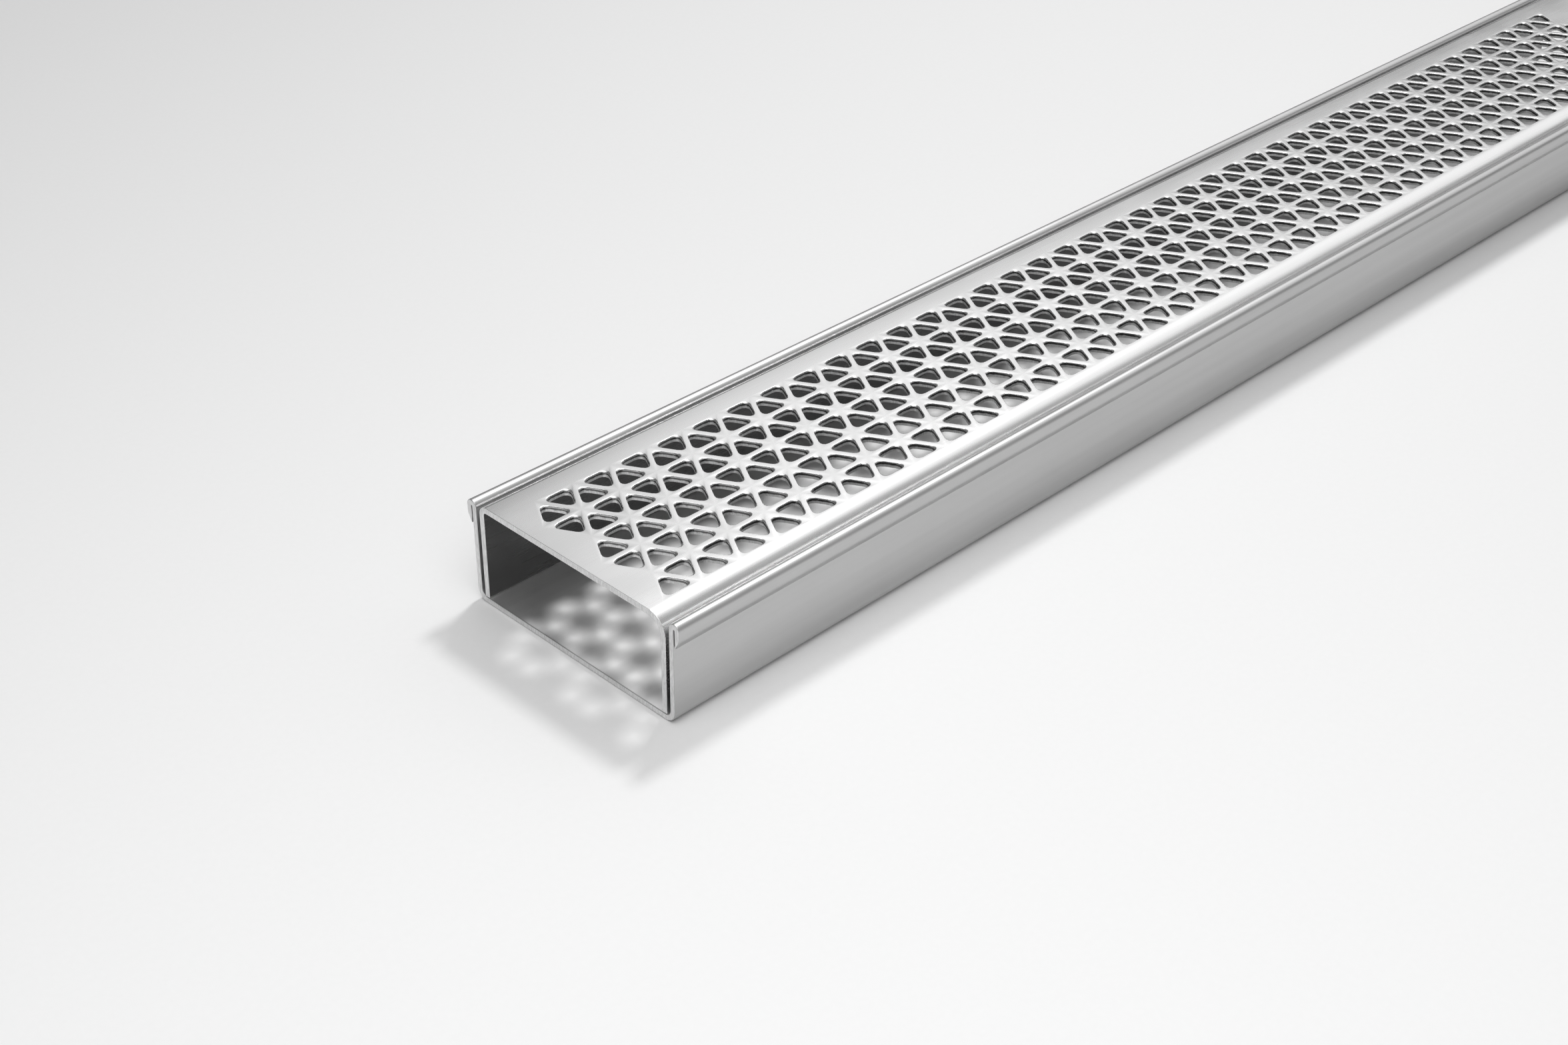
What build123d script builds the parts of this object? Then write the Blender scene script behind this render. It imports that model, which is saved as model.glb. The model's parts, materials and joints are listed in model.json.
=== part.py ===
"""Slimline channel drain: a folded sheet steel tray with hemmed edges, and the perforated grate that sits in it.

Millimetres. X runs along the drain, Y across it with +Y at the back, Z up. The origin is at the middle of the
underside. The end at -X is the one whose section shows, and the grate lifts straight out upwards.
"""

from build123d import *
import os
from math import floor, sqrt

# Overall
length = 470.0
tray_width = 65.0  # over the outside of the two walls, without the hems
height = 26.0  # underside of the tray to the top of the hems

# Tray: one sheet, folded up at both sides, with each top edge hemmed outwards
tray_sheet = 1.5
floor_bend = 1.6  # inside radius between floor and wall
hem_drop = 6.0  # top of the hem to its free edge
hem_slit = 0.2  # left open between the hem and the wall it is folded against
lip_edge = 0.4  # thickness of the hem's free edge, which is pressed thin against the wall
lip_taper = 2.2  # height over which the hem thins to its free edge

# Grate: one sheet, folded down at both sides into legs that stand in the tray
grate_sheet = 1.5
leg_clearance = 1.0  # leg to tray wall, each side
foot_clearance = 0.1  # foot to the tray under it
back_bend = 0.9  # inside radius of the back fold
front_bend = 3.4  # inside radius of the front fold, which is softer

# Perforation: rows of triangles that point to the back and to the front by turns
pitch = 11.0  # between triangles that point the same way
row_count = 5
rib = 1.3  # metal between two neighbouring triangles
corner_flat = 1.6  # length taken off both sides of each corner
back_land = 7.5  # back face of the grate to the first row line
near_land = 9.4  # end at -X to the middle of the first triangles
far_land = 14.0  # least plain metal beyond the last triangles, where the length is trimmed

# Levels and half widths that follow from the sizes above
wall_inside = tray_width / 2 - tray_sheet
hem_radius = tray_sheet + hem_slit / 2
lip_inside = wall_inside + tray_sheet + hem_slit
crown_level = height - hem_radius
grate_side = wall_inside - leg_clearance


def bend_rise(radius, distance):
    """Height of an inside bend above the floor, at a distance from the wall that it turns into."""
    reach = max(radius - distance, 0.0)
    return radius - sqrt(radius**2 - reach**2)


foot_level = tray_sheet + bend_rise(floor_bend, leg_clearance) + foot_clearance

# The perforation's grid: rows are counted from the back, columns from the end at -X
row_height = pitch * sqrt(3) / 2
column_step = pitch / 2
cell_inradius = row_height / 3
first_row_line = grate_side - back_land
first_column = near_land - length / 2
column_count = 1 + floor((length - near_land - far_land - column_step) / column_step)


def triangle_centres(points_back):
    """Centres of the triangles that point to the back, or of those that point to the front."""
    rise = cell_inradius if points_back else row_height - cell_inradius
    return [
        (first_column + column * column_step, first_row_line - (row + 1) * row_height + rise)
        for row in range(row_count)
        for column in range(column_count)
        if ((row + column) % 2 == 0) == points_back
    ]


# Tray: the floor and walls from half of their upper face as a line, then the hems, drawn out along X
with BuildPart() as tray:
    with BuildSketch(Plane.YZ):
        with BuildLine():
            wall = Line((wall_inside, crown_level), (wall_inside, tray_sheet + floor_bend))
            corner = JernArc(wall @ 1, wall % 1, floor_bend, -90)
            Line(corner @ 1, (0, tray_sheet))
            mirror(about=Plane.YZ)
            offset(amount=tray_sheet, side=Side.LEFT)
        make_face()
        with BuildSketch(mode=Mode.PRIVATE) as hem:
            with BuildLine():
                crown = CenterArc((wall_inside + hem_radius, crown_level), hem_radius, 0, 180)
                Line(crown @ 1, crown @ 0)
            make_face()
            with BuildLine():
                Polyline(
                    (lip_inside, crown_level),
                    (lip_inside, height - hem_drop),
                    (lip_inside + lip_edge, height - hem_drop),
                    (lip_inside + tray_sheet, height - hem_drop + lip_taper),
                    (lip_inside + tray_sheet, crown_level),
                    close=True,
                )
            make_face()
        add(hem.sketch)
        mirror(hem.sketch, about=Plane.YZ)
    extrude(amount=length / 2, both=True)

# Grate: the sheet's outer face as a line, thickened inwards, drawn out along X and then perforated
with BuildPart() as grate:
    with BuildSketch(Plane.YZ):
        with BuildLine():
            FilletPolyline(
                (-grate_side, foot_level),
                (-grate_side, height),
                (grate_side, height),
                (grate_side, foot_level),
                radius=[front_bend + grate_sheet, back_bend + grate_sheet],
            )
            offset(amount=grate_sheet, side=Side.RIGHT)
        make_face()
    extrude(amount=length / 2, both=True)

    with BuildSketch(mode=Mode.PRIVATE) as triangle:
        RegularPolygon(cell_inradius - rib / 2, 3, major_radius=False, rotation=90)
        chamfer(triangle.vertices(), corner_flat)
    with BuildSketch(Plane.XY.offset(height)):
        with Locations(*triangle_centres(points_back=True)):
            add(triangle.sketch)
        with Locations(*triangle_centres(points_back=False)):
            add(triangle.sketch, rotation=180)
    extrude(amount=-(grate_sheet + front_bend), mode=Mode.SUBTRACT, clean=False)

os.makedirs("parts", exist_ok=True)
tray.part.label = "tray"
export_step(tray.part, "parts/tray.step")
grate.part.label = "grate"
export_step(grate.part, "parts/grate.step")
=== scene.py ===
"""Looks of the slimline channel drain: its two folded sheets, their steel and a pale studio.

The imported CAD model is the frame. Both sheets are modelled again over their solids, with round corners in the
holes, rolled rims where the punch went in and soft bends. The unit is the metre. X runs along the drain, Y
towards its back and Z up.
"""

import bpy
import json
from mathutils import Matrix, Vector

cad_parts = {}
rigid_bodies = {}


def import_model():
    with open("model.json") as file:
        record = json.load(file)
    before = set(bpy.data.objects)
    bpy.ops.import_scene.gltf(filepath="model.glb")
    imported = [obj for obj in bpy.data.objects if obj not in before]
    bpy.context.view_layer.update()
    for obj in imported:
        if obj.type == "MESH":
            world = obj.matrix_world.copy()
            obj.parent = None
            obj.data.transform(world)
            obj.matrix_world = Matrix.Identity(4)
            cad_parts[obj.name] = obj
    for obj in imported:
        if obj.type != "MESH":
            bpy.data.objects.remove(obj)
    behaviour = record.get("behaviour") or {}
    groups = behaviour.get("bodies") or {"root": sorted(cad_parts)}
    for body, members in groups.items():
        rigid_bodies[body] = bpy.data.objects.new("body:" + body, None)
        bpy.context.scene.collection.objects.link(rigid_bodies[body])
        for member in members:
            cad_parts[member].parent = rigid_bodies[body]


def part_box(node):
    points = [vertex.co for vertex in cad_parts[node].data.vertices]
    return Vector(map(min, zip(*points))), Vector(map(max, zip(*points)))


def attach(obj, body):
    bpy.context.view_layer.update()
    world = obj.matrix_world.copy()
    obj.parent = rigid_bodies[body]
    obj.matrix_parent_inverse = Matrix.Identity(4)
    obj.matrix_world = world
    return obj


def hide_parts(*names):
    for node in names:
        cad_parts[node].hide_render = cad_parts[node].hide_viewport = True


bl_info = {
    "name": "Channel Drain",
    "version": (1, 0, 0),
    "blender": (4, 5, 0),
    "location": "3D View > Sidebar > Drain",
    "description": "Models a folded tray and the perforated grate in it, with their steel and a pale studio",
    "category": "Object",
}

import json
from math import atan2, cos, hypot, pi, radians, sin, sqrt, tan

import bmesh
import bpy
from bpy.props import FloatProperty, FloatVectorProperty, IntProperty, PointerProperty
from bpy.types import Operator, Panel, PropertyGroup
from mathutils import Vector

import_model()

NEAR = 1e-5  # two places closer than this are the same place

# Material slots of a sheet
FACE = 0  # the side that is modelled
CUT = 1  # where it is cut
BACK = 2  # the other side
# The tray's inside is also painted lighter than its outside, as painted light on the light spots on its floor
TROUGH = 3  # the tray's inside, where water has dulled it


class GrateSizes(PropertyGroup):
    """Sizes of the perforated grate."""

    sheet: FloatProperty(
        name="Sheet", description="Thickness of the sheet", default=0.0015, unit="LENGTH")
    back_bend: FloatProperty(
        name="Back Bend", description="Inside radius of the back fold", default=0.0009, unit="LENGTH")
    front_bend: FloatProperty(
        name="Front Bend", description="Inside radius of the softer front fold", default=0.0034,
        unit="LENGTH")
    pitch: FloatProperty(
        name="Pitch", description="Between triangles that point the same way", default=0.011, unit="LENGTH")
    rows: IntProperty(
        name="Rows", description="Rows of triangles, counted from the back", default=5, min=1)
    columns: IntProperty(
        name="Columns", description="Triangles in a row, both ways round", default=81, min=2)
    rib: FloatProperty(
        name="Rib", description="Metal between two triangles", default=0.0015, unit="LENGTH")
    corner: FloatProperty(
        name="Corner", description="Radius of a triangle's corners", default=0.0017, unit="LENGTH")
    back_land: FloatProperty(
        name="Back Land", description="Back face to the first row line", default=0.0075, unit="LENGTH")
    near_land: FloatProperty(
        name="Near Land", description="End to the middle of the first triangle", default=0.0094,
        unit="LENGTH")
    rim: FloatProperty(
        name="Rim", description="Roll of the sheet into a punched hole", default=0.0004, unit="LENGTH")
    arris: FloatProperty(
        name="Arris", description="Rounding of the sawn ends and the feet", default=0.00013, unit="LENGTH")


class TraySizes(PropertyGroup):
    """Sizes of the folded tray."""

    sheet: FloatProperty(
        name="Sheet", description="Thickness of the sheet", default=0.0015, unit="LENGTH")
    floor_bend: FloatProperty(
        name="Floor Bend", description="Inside radius from floor to wall", default=0.0016, unit="LENGTH")
    hem_drop: FloatProperty(
        name="Hem Drop", description="Top of the hem to its free edge", default=0.006, unit="LENGTH")
    hem_slit: FloatProperty(
        name="Hem Slit", description="Left open between hem and wall", default=0.0002, unit="LENGTH")
    lip_edge: FloatProperty(
        name="Lip Edge", description="Thickness of the hem's free edge", default=0.0004, unit="LENGTH")
    lip_taper: FloatProperty(
        name="Lip Taper", description="Height over which the hem thins", default=0.0022, unit="LENGTH")
    lip_bend: FloatProperty(
        name="Lip Bend", description="Radius where the hem starts to thin", default=0.003, unit="LENGTH")
    rim: FloatProperty(
        name="Rim", description="Rounding of the cut edges", default=0.00018, unit="LENGTH")


class SteelFinish(PropertyGroup):
    """Colours and finish of the steel."""

    tray_colour: FloatVectorProperty(
        name="Tray", description="Colour of the tray's sheet", default=(0.50, 0.50, 0.50),
        subtype="COLOR", min=0, max=1)
    # Painted light: the tray's inside is lighter than its outside so the light spots on its floor read
    # brighter; its duller finish is its own
    trough_painted_light_colour: FloatVectorProperty(
        name="Trough", description="Colour of the tray's duller inside", default=(0.75, 0.75, 0.75),
        subtype="COLOR", min=0, max=1)
    grate_colour: FloatVectorProperty(
        name="Grate", description="Colour of the grate's upper side", default=(0.70, 0.70, 0.70),
        subtype="COLOR", min=0, max=1)
    # Painted shade: the grate's underside is darkened far below steel so the shade inside the channel reads
    # dark
    underside_shade_colour: FloatVectorProperty(
        name="Underside", description="Colour of the grate's duller underside", default=(0.17, 0.17, 0.17),
        subtype="COLOR", min=0, max=1)
    cut_colour: FloatVectorProperty(
        name="Cut Edges", description="Colour of punched and sheared edges", default=(0.80, 0.80, 0.80),
        subtype="COLOR", min=0, max=1)
    tray_roughness: FloatProperty(
        name="Tray Roughness", description="Mean roughness of the tray", default=0.36, min=0, max=1,
        subtype="FACTOR")
    trough_roughness: FloatProperty(
        name="Trough Roughness", description="Mean roughness of the tray's inside", default=0.50,
        min=0, max=1, subtype="FACTOR")
    grate_roughness: FloatProperty(
        name="Grate Roughness", description="Mean roughness of the grate", default=0.27, min=0, max=1,
        subtype="FACTOR")
    brushing: FloatProperty(
        name="Brushing", description="How far gloss spreads across the brush lines", default=0.4,
        min=0, max=1, subtype="FACTOR")
    dulling: FloatProperty(
        name="Dulling", description="Share of the tray's inside that is matt", default=0.05, min=0, max=1,
        subtype="FACTOR")


class StudioSettings(PropertyGroup):
    """Floor, light and camera."""

    floor_colour: FloatVectorProperty(
        name="Floor", description="Colour of the floor", default=(0.92, 0.92, 0.92),
        subtype="COLOR", min=0, max=1)
    key_power: FloatProperty(
        name="Key", description="Power of the key light", default=4.2, min=0, unit="POWER")
    key_size: FloatProperty(
        name="Key Size", description="Width of the round key light", default=0.17, unit="LENGTH")
    key_place: FloatVectorProperty(
        name="Key Place", description="Place of the key light", default=(0.40, 0.22, 0.90),
        subtype="TRANSLATION", unit="LENGTH")
    fill_power: FloatProperty(
        name="Fill", description="Power of the fill light", default=1.65, min=0, unit="POWER")
    fill_size: FloatProperty(
        name="Fill Size", description="Width of the round fill light", default=0.65, unit="LENGTH")
    fill_place: FloatVectorProperty(
        name="Fill Place", description="Place of the fill light", default=(-0.345, -0.18, 0.46),
        subtype="TRANSLATION", unit="LENGTH")
    wall_level: FloatProperty(
        name="Walls", description="Level of the studio's walls", default=0.16, min=0, max=1,
        subtype="FACTOR")
    front_level: FloatProperty(
        name="Front Wall", description="Level of the wall in front of the drain", default=0.48,
        min=0, max=1, subtype="FACTOR")
    ceiling_level: FloatProperty(
        name="Ceiling", description="Level of the pale ceiling overhead", default=0.9, min=0, max=1,
        subtype="FACTOR")
    matt_share: FloatProperty(
        name="Matt Share", description="Share of the walls' light that reaches matt surfaces", default=0.53,
        min=0, max=1, subtype="FACTOR")
    screen_level: FloatProperty(
        name="Screen", description="Level of the white screen that the grate mirrors", default=1.1,
        min=0, max=2)
    screen_glow: FloatProperty(
        name="Screen Glow", description="How much brighter the screen is at its front", default=1.2,
        min=1, max=2)
    screen_front: FloatProperty(
        name="Screen Front", description="Direction of the screen's front edge", default=radians(-27),
        unit="ROTATION")
    screen_back: FloatProperty(
        name="Screen Back", description="Direction of the screen's back edge", default=radians(55),
        unit="ROTATION")
    camera_place: FloatVectorProperty(
        name="Camera", description="Place of the camera", default=(-0.47532, -0.29927, 0.28543),
        subtype="TRANSLATION", unit="LENGTH")
    camera_turn: FloatVectorProperty(
        name="Camera Turn", description="Turn of the camera",
        default=(radians(56.7926), radians(-0.5759), radians(-45.1608)), subtype="EULER")
    lens: FloatProperty(
        name="Lens", description="Focal length on a sensor 36 mm wide", default=50.382)


# Modelling


def begin(add, **settings):
    """Add a primitive with its operator, put its place in its mesh, and open it in edit mode."""
    bpy.ops.object.select_all(action="DESELECT")
    add(**settings)
    bpy.ops.object.transform_apply()
    piece = bpy.context.object
    bpy.ops.object.mode_set(mode="EDIT")
    bpy.ops.mesh.select_mode(type="EDGE")
    return piece


def pick(piece, kind, test):
    """Select only the verts, edges or faces that pass the test."""
    bpy.ops.mesh.select_mode(type=kind[:-1].upper())
    bpy.ops.mesh.select_all(action="DESELECT")
    shape = bmesh.from_edit_mesh(piece.data)
    found = [part for part in getattr(shape, kind) if test(part)]
    for part in found:
        part.select_set(True)
    shape.select_flush_mode()
    bmesh.update_edit_mesh(piece.data)
    if not found:
        raise RuntimeError(f"no {kind} of {piece.name} are where they should be")


def pick_outline(piece, axis, place):
    """Select the open edges that lie at one place along an axis."""
    pick(piece, "edges", lambda edge: edge.is_boundary and all(
        abs(vert.co[axis] - place) < NEAR for vert in edge.verts))


def draw_out(step):
    """Extrude the selected edges by a step."""
    bpy.ops.mesh.extrude_region_move(TRANSFORM_OT_translate={"value": step})


def bend(y, z, angle, steps):
    """Spin the selected edges round a line along X, which folds the sheet on from them."""
    bpy.ops.mesh.spin(steps=steps, angle=angle, center=(0, y, z), axis=(1, 0, 0))


def modify(piece, kind, **settings):
    """Add a modifier to the piece and apply it."""
    bpy.ops.object.mode_set(mode="OBJECT")
    modifier = piece.modifiers.new(kind.title(), kind)
    for name, value in settings.items():
        setattr(modifier, name, value)
    bpy.ops.object.modifier_apply(modifier=modifier.name)


def repeat(piece, count, step):
    """Repeat the mesh in a straight line."""
    modify(piece, "ARRAY", count=count, use_relative_offset=False, use_constant_offset=True,
           constant_offset_displace=step)
    bpy.ops.object.mode_set(mode="EDIT")


def thicken(piece, sheet, materials):
    """Give the open sheet its thickness below its faces, and its cut edges their own material."""
    bpy.ops.mesh.select_all(action="SELECT")
    bpy.ops.mesh.normals_make_consistent(inside=False)
    for material in materials:
        piece.data.materials.append(material)
    modify(piece, "SOLIDIFY", thickness=sheet, offset=-1, use_even_offset=True,
           material_offset=BACK, material_offset_rim=CUT)
    bpy.ops.object.mode_set(mode="EDIT")


def is_corner(edge, *sides):
    """Whether an edge parts one of the given sides of the sheet from where it is cut."""
    found = {face.material_index for face in edge.link_faces}
    return CUT in found and bool(found & set(sides))


def round_edges(width, segments):
    """Round the selected edges."""
    bpy.ops.mesh.bevel(offset=width, segments=segments, affect="EDGES", clamp_overlap=False, material=FACE)


def hand_over(piece, name):
    """Finish a piece's shading, and let it stand for its CAD node."""
    bpy.ops.object.mode_set(mode="OBJECT")
    bpy.ops.object.shade_smooth_by_angle(angle=radians(40))
    modify(piece, "WEIGHTED_NORMAL", keep_sharp=True)
    piece.name = piece.data.name = name + "_sheet"
    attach(piece, "root")
    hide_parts(name)


# Steel

# Size of the grains in the steel's patterns, along X, Y and Z
BRUSH_LINES = (0.030, 0.0004, 0.0004)
BROAD_LINES = (0.150, 0.0022, 0.0022)
CLOUDS = (0.020, 0.009, 0.009)
WAVES = (0.080, 0.018, 0.018)
SHEAR_MARKS = (0.0003, 0.0003, 0.0015)
TORN_PATCHES = (0.0012, 0.0012, 0.0012)

# How far the brush lines and the clouds move the roughness up and down
BRUSH_GLOSS = 0.02
CLOUD_GLOSS = 0.03

# The grate leans away towards its folds, which only a bump shows
GRATE_LEVEL = 0.020  # from its middle to where the lean begins
LEAN_REACH = 0.012  # from there to where it ends
LEAN_DROP = 0.000475  # fall over that reach

# Walls of the punched holes, burnished above and torn below; the burnished band's dark tone is painted shade
BURNISHED_DEPTH = 0.00080  # upper face to the end of the burnished band
TORN_DEPTH = 0.00095  # upper face to where the wall is torn all over
TORN_WAVER = 0.0001  # how far the line between them goes up and down
# How dark the burnished band is painted: painted shade under the rims of the holes
BURNISHED_SHADE_TONE = 0.18
BURNISHED_ROUGHNESS = 0.18
CUT_TONES = (0.85, 1.1)  # from the darkest shear mark to the palest
CUT_ROUGHNESS = 0.55
SAWN_DEPTH = 0.0003  # this near to its ends the sheet is sawn and not punched


def new_material(name):
    """A new material, its node tree and its shader."""
    material = bpy.data.materials.new(name)
    material.use_nodes = True
    tree = material.node_tree
    return material, tree, tree.nodes["Principled BSDF"]


def add_node(tree, kind, inputs=(), **settings):
    """Add a node, set its properties, and set or link its inputs."""
    node = tree.nodes.new("ShaderNode" + kind)
    for name, value in settings.items():
        setattr(node, name, value)
    for name, value in dict(inputs).items():
        if isinstance(value, bpy.types.NodeSocket):
            tree.links.new(value, node.inputs[name])
        else:
            node.inputs[name].default_value = value
    return node


def calculate(tree, operation, *values):
    """The result of one Math operation on numbers or sockets."""
    return add_node(tree, "Math", dict(enumerate(values)), operation=operation).outputs[0]


def remap(tree, value, start, end, low=0.0, high=1.0, **settings):
    """Map a value that goes from start to end to one that goes from low to high."""
    return add_node(tree, "MapRange", {
        "Value": value, "From Min": start, "From Max": end, "To Min": low, "To Max": high},
        **settings).outputs[0]


def tint(tree, shader, colour, tone):
    """Give the shader a colour that a tone makes lighter or darker."""
    tinted = add_node(tree, "VectorMath", {0: list(colour), "Scale": tone}, operation="SCALE")
    tree.links.new(tinted.outputs[0], shader.inputs["Base Color"])


def streaks(tree, place, size, detail=2.0):
    """Noise whose grains have the given size in metres along X, Y and Z."""
    mapped = add_node(tree, "Mapping", {"Vector": place, "Scale": [1 / side for side in size]})
    noise = add_node(tree, "TexNoise", {"Vector": mapped.outputs["Vector"], "Scale": 1.0, "Detail": detail})
    return noise.outputs["Fac"]


def spread(tree, value, low, high):
    """Map noise, which keeps to the middle of its range, to a range of its own."""
    return remap(tree, value, 0.3, 0.7, low, high)


def brushed_steel(name, colour, roughness, brushing, mottle, relief=1.0, dulling=0.0, level_half=None):
    """Steel sheet with fine brush lines along X, which spread its gloss across them, and a faint mottle.

    Beyond level_half to both sides it leans away towards its folds.
    """
    material, tree, shader = new_material(name)
    place = add_node(tree, "TexCoord").outputs["Object"]
    fine = streaks(tree, place, BRUSH_LINES)
    broad = streaks(tree, place, BROAD_LINES)
    cloud = streaks(tree, place, CLOUDS, detail=4.0)
    tone = calculate(tree, "ADD", spread(tree, broad, -mottle, mottle), spread(tree, cloud, -mottle, mottle))
    tint(tree, shader, colour, calculate(tree, "ADD", tone, 1.0))
    gloss = calculate(tree, "ADD", spread(tree, fine, -BRUSH_GLOSS, BRUSH_GLOSS),
                      spread(tree, cloud, roughness - CLOUD_GLOSS, roughness + CLOUD_GLOSS))
    tree.links.new(gloss, shader.inputs["Roughness"])
    wave = streaks(tree, place, WAVES, detail=1.0)
    uneven = add_node(tree, "Bump", {"Height": wave, "Strength": 0.04 * relief, "Distance": 0.0002})
    lines = add_node(tree, "Bump", {
        "Height": fine, "Strength": 0.015 * relief, "Distance": 0.00003, "Normal": uneven.outputs["Normal"]})
    tree.links.new(lines.outputs["Normal"], shader.inputs["Normal"])
    if level_half is not None:
        across = calculate(tree, "ABSOLUTE", add_node(tree, "SeparateXYZ", {"Vector": place}).outputs["Y"])
        beyond = remap(tree, across, level_half, level_half + LEAN_REACH)
        fall = calculate(tree, "POWER", beyond, 2.0)
        lean = add_node(tree, "Bump", {"Height": fall, "Strength": 1.0, "Distance": LEAN_DROP}, invert=True)
        tree.links.new(lean.outputs["Normal"], uneven.inputs["Normal"])
    along = add_node(tree, "CombineXYZ", {"X": 1.0})
    tree.links.new(along.outputs[0], shader.inputs["Tangent"])
    shader.inputs["Metallic"].default_value = 1.0 - dulling
    shader.inputs["Anisotropic"].default_value = brushing
    shader.inputs["Anisotropic Rotation"].default_value = 0.25  # a quarter turn, across the lines
    return material


def cut_steel(name, colour, punched_from=None, sawn_from=None):
    """Bare steel where the sheet was cut: pale and matt, but burnished and glossier where a punch went in from
    above, and darkened there with painted shade.
    """
    material, tree, shader = new_material(name)
    place = add_node(tree, "TexCoord").outputs["Object"]
    shear = streaks(tree, place, SHEAR_MARKS, detail=3.0)
    tone = spread(tree, shear, *CUT_TONES)
    shader.inputs["Roughness"].default_value = CUT_ROUGHNESS
    if punched_from is not None:
        waver = spread(tree, streaks(tree, place, TORN_PATCHES, detail=3.0), -TORN_WAVER, TORN_WAVER)
        where = add_node(tree, "SeparateXYZ", {"Vector": place}).outputs
        level = calculate(tree, "ADD", where["Z"], waver)
        torn = remap(tree, level, punched_from - BURNISHED_DEPTH, punched_from - TORN_DEPTH)
        along = calculate(tree, "ABSOLUTE", where["X"])
        sawn = calculate(tree, "GREATER_THAN", along, sawn_from)
        torn = calculate(tree, "MAXIMUM", torn, sawn)
        # Painted shade: the burnished band high on the hole walls is darkened
        burnished_shade = remap(tree, torn, 0.0, 1.0, BURNISHED_SHADE_TONE, 1.0)
        tone = calculate(tree, "MULTIPLY", tone, burnished_shade)
        gloss = remap(tree, torn, 0.0, 1.0, BURNISHED_ROUGHNESS, CUT_ROUGHNESS)
        tree.links.new(gloss, shader.inputs["Roughness"])
    tint(tree, shader, colour, tone)
    marks = add_node(tree, "Bump", {"Height": shear, "Strength": 0.2, "Distance": 0.00006})
    tree.links.new(marks.outputs["Normal"], shader.inputs["Normal"])
    shader.inputs["Metallic"].default_value = 0.8
    return material


def tray_steel(finish):
    """The materials of the tray's sheet, in the order of its material slots."""
    face = brushed_steel("tray_brushed", finish.tray_colour, finish.tray_roughness, finish.brushing / 4,
                         mottle=0.03, relief=0.4)
    # The inside's lighter colour is painted light on its light spots
    trough = brushed_steel("tray_inside", finish.trough_painted_light_colour, finish.trough_roughness, finish.brushing,
                           mottle=0.03, dulling=finish.dulling)
    return [face, cut_steel("tray_cut", finish.cut_colour), face, trough]


def grate_steel(finish):
    """The materials of the grate's sheet, in the order of its material slots."""
    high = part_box("grate")[1]
    return [
        brushed_steel("grate_satin", finish.grate_colour, finish.grate_roughness, finish.brushing / 2,
                      mottle=0.01, level_half=GRATE_LEVEL),
        cut_steel("grate_cut", finish.cut_colour, high.z, high.x - SAWN_DEPTH),
        # The underside's dark colour is painted shade inside the channel
        brushed_steel("grate_underside", finish.underside_shade_colour, finish.grate_roughness, finish.brushing / 2,
                      mottle=0.03),
    ]


# Pieces


class DRAIN_OT_tray(Operator):
    """Fold the tray from one sheet, with both top edges hemmed outwards"""

    bl_idname = "drain.tray"
    bl_label = "Tray"

    def execute(self, context):
        sizes = context.scene.tray_sizes
        low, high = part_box("tray")
        hem = sizes.sheet + sizes.hem_slit / 2
        wall = high.y - 2 * hem
        bend_line = wall - sizes.floor_bend
        crown = high.z - hem
        free_edge = high.z - sizes.hem_drop
        slit = high.y - sizes.sheet
        lean = atan2(sizes.sheet - sizes.lip_edge, sizes.lip_taper)
        lip = hypot(sizes.sheet - sizes.lip_edge, sizes.lip_taper) - sizes.lip_bend * tan(lean / 2)
        turn = free_edge + sizes.lip_taper + sizes.lip_bend * tan(lean / 2)
        middle = (0, 0, sizes.sheet)
        piece = begin(bpy.ops.mesh.primitive_plane_add, size=1, location=middle)
        bpy.ops.transform.resize(value=(high.x - low.x, 2 * bend_line, 1), center_override=middle)
        for side in (1, -1):
            pick_outline(piece, 1, side * bend_line)
            bend(side * bend_line, sizes.sheet + sizes.floor_bend, -side * pi / 2, steps=8)
            draw_out((0, 0, crown - sizes.sheet - sizes.floor_bend))
            bend(side * (wall + hem), crown, side * pi, steps=16)
            draw_out((0, 0, turn - crown))
            bend(side * (high.y - sizes.lip_bend), turn, side * lean, steps=6)
            draw_out((0, -side * lip * sin(lean), -lip * cos(lean)))
        thicken(piece, sizes.sheet, tray_steel(context.scene.steel_finish))
        # The thinned lip lies flat along the slit, down to its free edge
        for side in (1, -1):
            pick(piece, "verts", lambda vert: free_edge < vert.co.z < turn and 0 < side * vert.co.y < slit)
            bpy.ops.transform.resize(value=(1, 0, 1), center_override=(0, side * slit, 0))
            pick(piece, "verts", lambda vert: abs(vert.co.z - free_edge) < sizes.sheet
                 and abs(side * vert.co.y - slit) < NEAR)
            bpy.ops.transform.resize(value=(1, 1, 0), center_override=(0, 0, free_edge))
        pick(piece, "faces", lambda face: face.material_index == FACE and face.calc_center_median().z < crown
             and abs(face.calc_center_median().y) < wall + NEAR)
        piece.active_material_index = TROUGH
        bpy.ops.object.material_slot_assign()
        pick(piece, "edges", lambda edge: is_corner(edge, FACE, BACK, TROUGH))
        round_edges(sizes.rim, segments=2)
        hand_over(piece, "tray")
        return {"FINISHED"}


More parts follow.
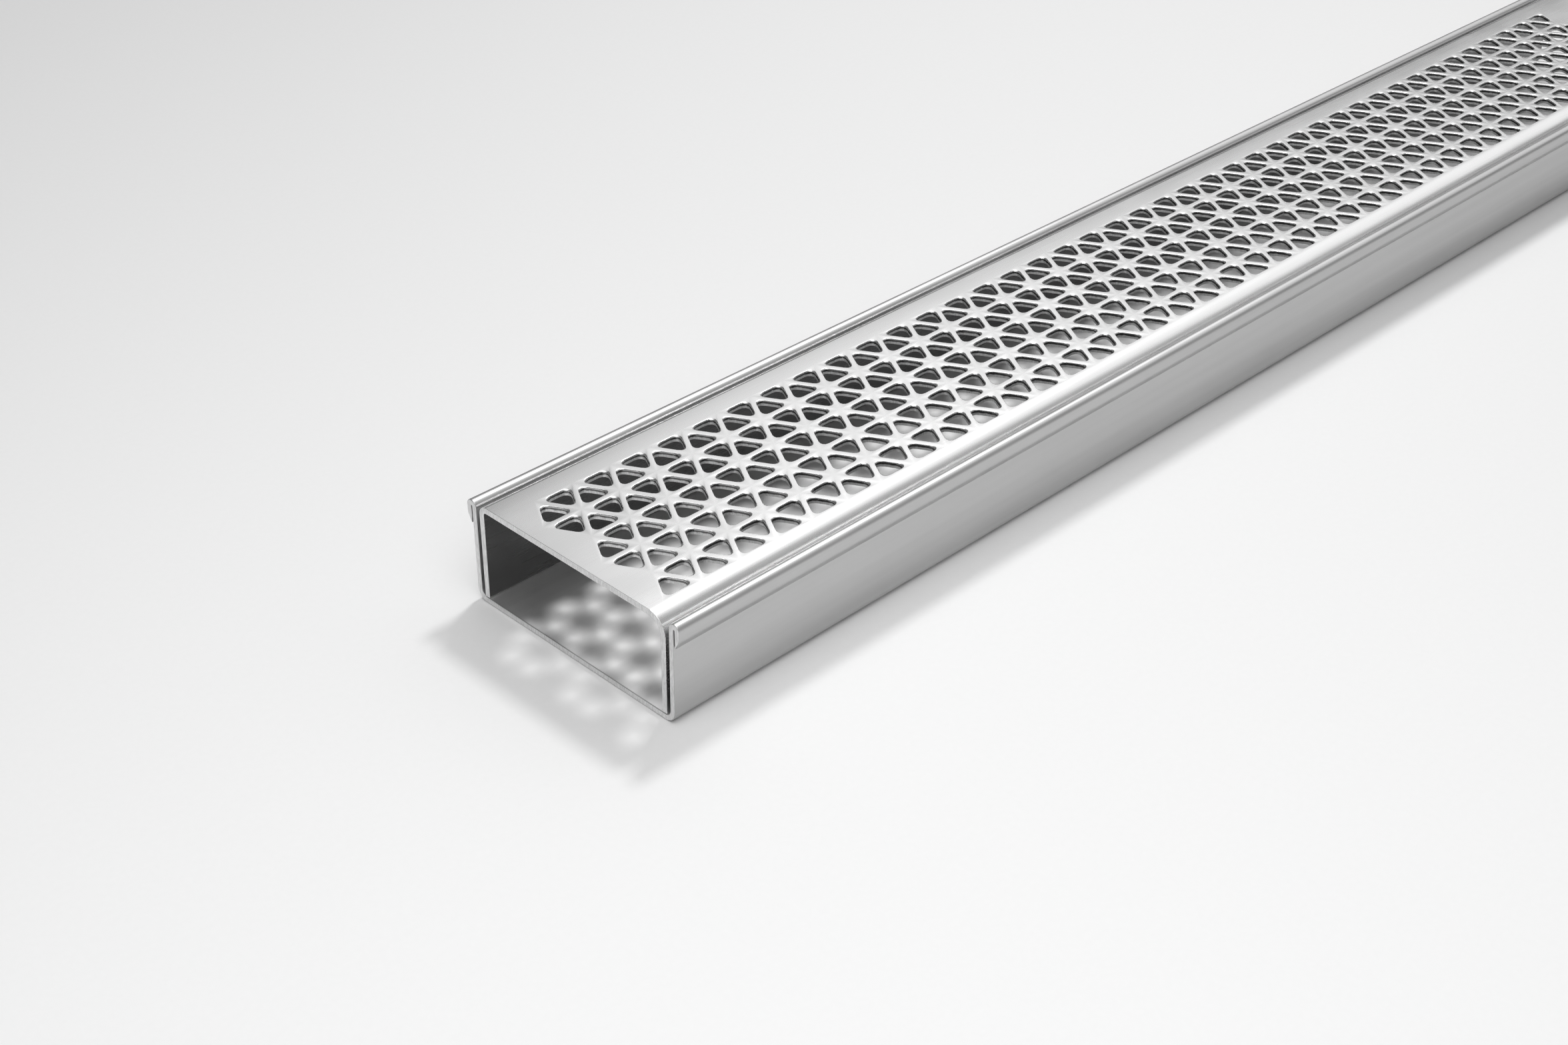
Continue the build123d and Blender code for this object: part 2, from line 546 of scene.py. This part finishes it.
class DRAIN_OT_grate(Operator):
    """Punch and fold the grate from one sheet"""

    bl_idname = "drain.grate"
    bl_label = "Grate"

    def execute(self, context):
        sizes = context.scene.grate_sizes
        low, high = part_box("grate")
        row = sizes.pitch * sqrt(3) / 2
        back_line = high.y - sizes.back_land
        front_line = back_line - sizes.rows * row
        piece = self.punch(sizes, Vector((low.x + sizes.near_land, back_line, high.z)))
        for side, end in ((-1, low.x), (1, high.x)):
            pick(piece, "edges", lambda edge: edge.is_boundary and edge.verts[0].co.x * side > 0
                 and abs(edge.verts[0].co.y - edge.verts[1].co.y) > row / 2)
            draw_out((0, 0, 0))
            bpy.ops.transform.resize(value=(0, 1, 1), center_override=(end, 0, 0))
        self.fold(piece, back_line, high.y, sizes.back_bend + sizes.sheet, low.z, high.z, steps=8)
        self.fold(piece, front_line, low.y, sizes.front_bend + sizes.sheet, low.z, high.z, steps=14)
        thicken(piece, sizes.sheet, grate_steel(context.scene.steel_finish))
        inner = high.x - NEAR
        lowest = high.z - sizes.sheet - NEAR
        pick(piece, "edges", lambda edge: is_corner(edge, FACE) and all(
            abs(vert.co.x) < inner and vert.co.z > lowest for vert in edge.verts))
        round_edges(sizes.rim, segments=3)
        pick(piece, "edges", lambda edge: is_corner(edge, FACE, BACK) and (
            all(abs(vert.co.x) > inner for vert in edge.verts) or edge.verts[0].co.z < low.z + sizes.sheet))
        round_edges(sizes.arris, segments=2)
        hand_over(piece, "grate")
        return {"FINISHED"}

    @staticmethod
    def punch(sizes, corner):
        """The flat perforated strip, from one cell of the grid at the near back corner."""
        row = sizes.pitch * sqrt(3) / 2
        cell_radius = row * 2 / 3
        centre = corner - Vector((0, cell_radius, 0))
        piece = begin(bpy.ops.mesh.primitive_circle_add, vertices=3, radius=cell_radius - sizes.rib,
                      fill_type="NGON", location=centre)
        # Rounding a corner of 60 degrees takes the root of 3 times its radius off each side
        bpy.ops.mesh.bevel(offset=sizes.corner * sqrt(3), segments=4, affect="VERTICES", clamp_overlap=False)
        bpy.ops.mesh.delete(type="ONLY_FACE")
        bpy.ops.mesh.primitive_circle_add(vertices=3, radius=cell_radius, location=centre)
        bpy.ops.mesh.select_all(action="SELECT")
        bpy.ops.mesh.fill()
        # Its neighbour that points to the front, then the whole row
        bpy.ops.mesh.select_all(action="SELECT")
        bpy.ops.mesh.duplicate()
        bpy.ops.transform.rotate(value=pi, orient_axis="Z",
                                 center_override=corner + Vector((sizes.pitch / 4, -row / 2, 0)))
        repeat(piece, (sizes.columns + 1) // 2, (sizes.pitch, 0, 0))
        if sizes.columns % 2:
            far = corner.x + sizes.columns * sizes.pitch / 2
            pick(piece, "verts", lambda vert: vert.co.x > far - NEAR)
            bpy.ops.mesh.select_linked()
            bpy.ops.mesh.delete(type="VERT")
        # The next row is its mirror image in the line between them
        bpy.ops.mesh.select_all(action="SELECT")
        bpy.ops.mesh.duplicate()
        bpy.ops.transform.resize(value=(1, -1, 1), center_override=corner - Vector((0, row, 0)))
        repeat(piece, (sizes.rows + 1) // 2, (0, -2 * row, 0))
        if sizes.rows % 2:
            last = corner.y - sizes.rows * row
            pick(piece, "faces", lambda face: face.calc_center_median().y < last)
            bpy.ops.mesh.delete(type="FACE")
        bpy.ops.mesh.select_all(action="SELECT")
        bpy.ops.mesh.remove_doubles(threshold=NEAR)
        return piece

    @staticmethod
    def fold(piece, line, face, radius, foot, top, steps):
        """Carry the sheet on from a row line to a side face, and fold it down to its foot."""
        side = 1 if face > 0 else -1
        radius = min(radius, abs(face - line))
        pick_outline(piece, 1, line)
        if abs(face - line) > radius + NEAR:
            draw_out((0, face - side * radius - line, 0))
        bend(face - side * radius, top - radius, side * pi / 2, steps)
        draw_out((0, 0, foot - top + radius))


# Studio

FLOOR_WIDTH = 12
FLOOR_DROP = 0.00005  # keeps the floor clear of the tray's underside
FLOOR_GRAIN = (0.0015, 0.0015, 0.0015)

# How far the screen fades, outside and inside its edges
SCREEN_FRONT_OUTSIDE = radians(16)
SCREEN_FRONT_INSIDE = radians(4)
SCREEN_BACK_FADE = radians(8)

# Directions round the drain, and sines of the height above the horizon, between which a light comes up
SCREEN_GLOW = (radians(34), radians(20))
SCREEN_FOOT = (0.26, 0.44)
FRONT_WALL_FAR_EDGE = (radians(-20), radians(-34))
FRONT_WALL_NEAR_EDGE = (radians(-110), radians(-70))
CEILING_EDGE = (0.76, 0.88)


class DRAIN_OT_studio(Operator):
    """Lay the pale floor, light it and set up the camera"""

    bl_idname = "drain.studio"
    bl_label = "Studio"

    def execute(self, context):
        settings = context.scene.studio
        bpy.ops.object.select_all(action="DESELECT")
        bpy.ops.mesh.primitive_plane_add(size=FLOOR_WIDTH, location=(0, 0, -FLOOR_DROP))
        floor = context.object
        floor.name = floor.data.name = "floor"
        floor.data.materials.append(self.pale_floor(settings))
        self.lamp("key", settings.key_place, settings.key_size, settings.key_power)
        self.lamp("fill", settings.fill_place, settings.fill_size, settings.fill_power)
        self.studio_walls(context.scene, settings)
        bpy.ops.object.camera_add(location=settings.camera_place, rotation=settings.camera_turn)
        camera = context.object
        camera.name = "camera"
        camera.data.sensor_width = 36
        camera.data.lens = settings.lens
        camera.data.clip_start = 0.01
        context.scene.camera = camera
        context.scene.view_settings.view_transform = "Standard"
        return {"FINISHED"}

    @staticmethod
    def lamp(name, place, size, power):
        """Add a round soft light that points at the drain."""
        bpy.ops.object.light_add(type="AREA", location=place)
        lamp = bpy.context.object
        lamp.name = name
        lamp.rotation_euler = Vector(place).to_track_quat("Z", "Y").to_euler()
        lamp.data.shape = "DISK"
        lamp.data.size = size
        lamp.data.energy = power

    @staticmethod
    def pale_floor(settings):
        """Matt pale board with the faintest grain."""
        material, tree, shader = new_material("pale_board")
        place = add_node(tree, "TexCoord").outputs["Object"]
        grain = spread(tree, streaks(tree, place, FLOOR_GRAIN, detail=3.0), 0.99, 1.0)
        tint(tree, shader, settings.floor_colour, grain)
        shader.inputs["Roughness"].default_value = 0.8
        return material

    @staticmethod
    def studio_walls(scene, settings):
        """Dim walls all round, a paler one in front, a pale ceiling and a wide white screen.

        Each light is full between its edges and fades softly over them, and the brightest one shows. Matt
        surfaces get a share of what gloss mirrors.
        """
        world = scene.world or bpy.data.worlds.new("studio_walls")
        scene.world = world
        world.use_nodes = True
        tree = world.node_tree
        direction = add_node(tree, "TexCoord").outputs["Generated"]
        way = add_node(tree, "SeparateXYZ", {"Vector": direction}).outputs
        azimuth = calculate(tree, "ARCTAN2", way["Y"], way["X"])
        front, back = settings.screen_front, settings.screen_back
        brightest = None
        for top, edges in (
            (settings.screen_level, (
                (azimuth, front - SCREEN_FRONT_OUTSIDE, front + SCREEN_FRONT_INSIDE, 0, 1),
                (azimuth, back + SCREEN_BACK_FADE, back - SCREEN_BACK_FADE, 0, 1),
                (azimuth, *SCREEN_GLOW, 1, settings.screen_glow),
                (way["Z"], *SCREEN_FOOT, 0, 1),
            )),
            (settings.front_level, (
                (azimuth, *FRONT_WALL_FAR_EDGE, 0, 1),
                (azimuth, *FRONT_WALL_NEAR_EDGE, 0, 1),
            )),
            (settings.ceiling_level, (
                (way["Z"], *CEILING_EDGE, 0, 1),
            )),
        ):
            light = top - settings.wall_level
            for edge in edges:
                share = remap(tree, *edge, interpolation_type="SMOOTHSTEP")
                light = calculate(tree, "MULTIPLY", share, light)
            if brightest is not None:
                light = calculate(tree, "MAXIMUM", light, brightest)
            brightest = light
        level = calculate(tree, "ADD", brightest, settings.wall_level)
        tree.links.new(level, tree.nodes["Background"].inputs["Color"])
        mirrored = add_node(tree, "LightPath").outputs["Is Glossy Ray"]
        strength = remap(tree, mirrored, 0.0, 1.0, settings.matt_share, 1.0)
        tree.links.new(strength, tree.nodes["Background"].inputs["Strength"])


class DRAIN_PT_panel(Panel):
    """Lists the drain's operators and settings"""

    bl_label = "Channel Drain"
    bl_idname = "DRAIN_PT_panel"
    bl_space_type = "VIEW_3D"
    bl_region_type = "UI"
    bl_category = "Drain"

    def draw(self, context):
        for operator, group in (
            ("drain.tray", context.scene.tray_sizes),
            ("drain.grate", context.scene.grate_sizes),
            ("drain.studio", context.scene.studio),
        ):
            self.layout.operator(operator)
            for name in group.__annotations__:
                self.layout.prop(group, name)
        for name in SteelFinish.__annotations__:
            self.layout.prop(context.scene.steel_finish, name)


CLASSES = (
    GrateSizes, TraySizes, SteelFinish, StudioSettings,
    DRAIN_OT_tray, DRAIN_OT_grate, DRAIN_OT_studio, DRAIN_PT_panel,
)
GROUPS = {
    "grate_sizes": GrateSizes, "tray_sizes": TraySizes, "steel_finish": SteelFinish, "studio": StudioSettings,
}


def register():
    """Register the classes, and hang the settings on the scene."""
    for cls in CLASSES:
        bpy.utils.register_class(cls)
    for name, group in GROUPS.items():
        setattr(bpy.types.Scene, name, PointerProperty(type=group))


def unregister():
    """Take the settings and classes away again."""
    for name in GROUPS:
        delattr(bpy.types.Scene, name)
    for cls in reversed(CLASSES):
        bpy.utils.unregister_class(cls)


def main():
    """Build the drain and its studio."""
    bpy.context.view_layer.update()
    register()
    bpy.ops.drain.tray()
    bpy.ops.drain.grate()
    bpy.ops.drain.studio()


if __name__ == "__main__":
    main()
